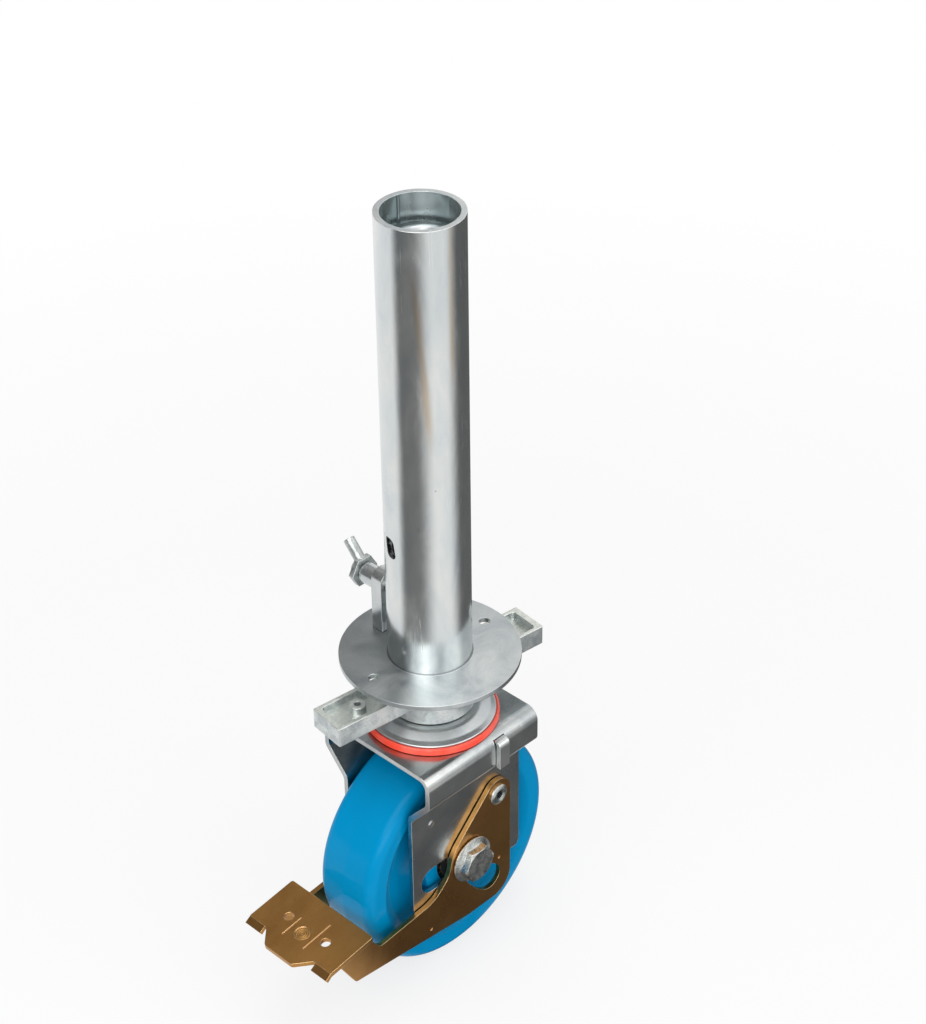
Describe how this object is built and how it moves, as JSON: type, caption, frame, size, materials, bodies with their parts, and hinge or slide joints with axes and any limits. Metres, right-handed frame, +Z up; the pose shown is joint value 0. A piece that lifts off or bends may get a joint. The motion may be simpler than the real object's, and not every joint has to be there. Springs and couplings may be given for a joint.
{
  "type": "scaffold castor",
  "caption": "Braked swivel castor with a threaded height spindle in a flanged scaffold tube, winged height nut, retaining screw and foot pedal brake",
  "frame": {"origin": "point on the floor under the spindle axis", "axes": "+Z up along the spindle, X the rolling direction with the pedal at -X, Y along the axle"},
  "size_m": [0.2031, 0.1199, 0.4939],
  "materials": {
    "zinc_tube": "galvanised tube, bright, fine scratches",
    "zinc_plate": "satin zinc plate",
    "zinc_cast": "rough hot dip galvanised casting",
    "fork_zinc": "zinc plated pressed sheet",
    "bolt_zinc": "mottled zinc flake on fasteners",
    "spindle_steel": "zinc plated rolled thread",
    "bearing_steel": "ground bearing steel",
    "shield_black": "black rubber bearing seal",
    "brass_pad": "turned brass pressure pad",
    "seal_red": "red orange dust seal",
    "wheel_blue": "glossy moulded blue wheel",
    "lever_yellow": "yellow passivated pressed steel"
  },
  "bodies": {
    "tube": {"frame_tube": "zinc_tube", "tube_flange": "zinc_plate", "retaining_strip": "zinc_plate", "screw_boss": "zinc_plate"},
    "nut": {"spindle_nut": "zinc_cast"},
    "pad": {"pressure_pad": "brass_pad"},
    "screw": {"retaining_screw": "zinc_cast"},
    "spindle": {"spindle": "spindle_steel", "crown_disc": "zinc_plate", "seal_ring": "seal_red", "upper_race_balls": "bearing_steel", "lower_race_balls": "bearing_steel", "lower_cup": "zinc_plate", "king_bolt": "bolt_zinc", "king_nut": "bolt_zinc"},
    "fork": {"fork": "fork_zinc", "upper_race": "bearing_steel", "lower_race": "bearing_steel", "pivot_rivet_near": "bolt_zinc", "pivot_rivet_far": "bolt_zinc", "brake_shoe": "zinc_plate"},
    "lock": {"lock_plate": "fork_zinc"},
    "lever": {"brake_lever": "lever_yellow"},
    "axle": {"axle_bolt": "bolt_zinc", "axle_nut": "bolt_zinc", "axle_sleeve": "bearing_steel", "bearing_spacer": "bearing_steel", "axle_washer_near": "bolt_zinc", "axle_washer_far": "bolt_zinc", "bearing_near_inner": "bearing_steel", "bearing_far_inner": "bearing_steel"},
    "wheel": {"wheel": "wheel_blue", "bearing_near_outer": "bearing_steel", "bearing_far_outer": "bearing_steel", "bearing_near_shield": "shield_black", "bearing_far_shield": "shield_black", "bearing_near_balls": "bearing_steel", "bearing_far_balls": "bearing_steel"}
  },
  "joints": [
    {"name": "spindle_height", "type": "slide", "parent": "tube", "child": "spindle", "axis": [0, 0, 1], "range_m": [-0.15, 0]},
    {"name": "nut_turn", "type": "hinge", "parent": "tube", "child": "nut", "pos_m": [0, 0, 0.2], "axis": [0, 0, 1], "continuous": true},
    {"name": "screw_travel", "type": "slide", "parent": "tube", "child": "pad", "axis": [0, 1, 0], "range_m": [0, 0.004]},
    {"name": "screw_turn", "type": "hinge", "parent": "pad", "child": "screw", "pos_m": [-0.001, 0.03, 0.2445], "axis": [0, 1, 0], "continuous": true},
    {"name": "swivel", "type": "hinge", "parent": "spindle", "child": "fork", "pos_m": [0, 0, 0.17], "axis": [0, 0, 1], "continuous": true},
    {"name": "lock_lift", "type": "slide", "parent": "fork", "child": "lock", "axis": [0, 0, 1], "range_m": [-0.003, 0]},
    {"name": "brake_lever", "type": "hinge", "parent": "fork", "child": "lever", "pos_m": [0.0225, 0, 0.1105], "axis": [0, 1, 0], "range_deg": [0, 48]},
    {"name": "axle_shift", "type": "slide", "parent": "fork", "child": "axle", "axis": [1, 0, 0], "range_m": [-0.027, 0]},
    {"name": "wheel_spin", "type": "hinge", "parent": "axle", "child": "wheel", "pos_m": [-0.001, 0, 0.075], "axis": [0, 1, 0], "continuous": true}
  ],
  "couplings": [
    {"joint": "nut_turn", "follows": "spindle_height", "rad_per_m": -785.4},
    {"joint": "screw_turn", "follows": "screw_travel", "rad_per_m": 5026.6},
    {"joint": "brake_lever", "follows": "axle_shift", "rad_per_m": -31.028},
    {"joint": "lock_lift", "follows": "axle_shift", "ratio": 0.1111}
  ]
}
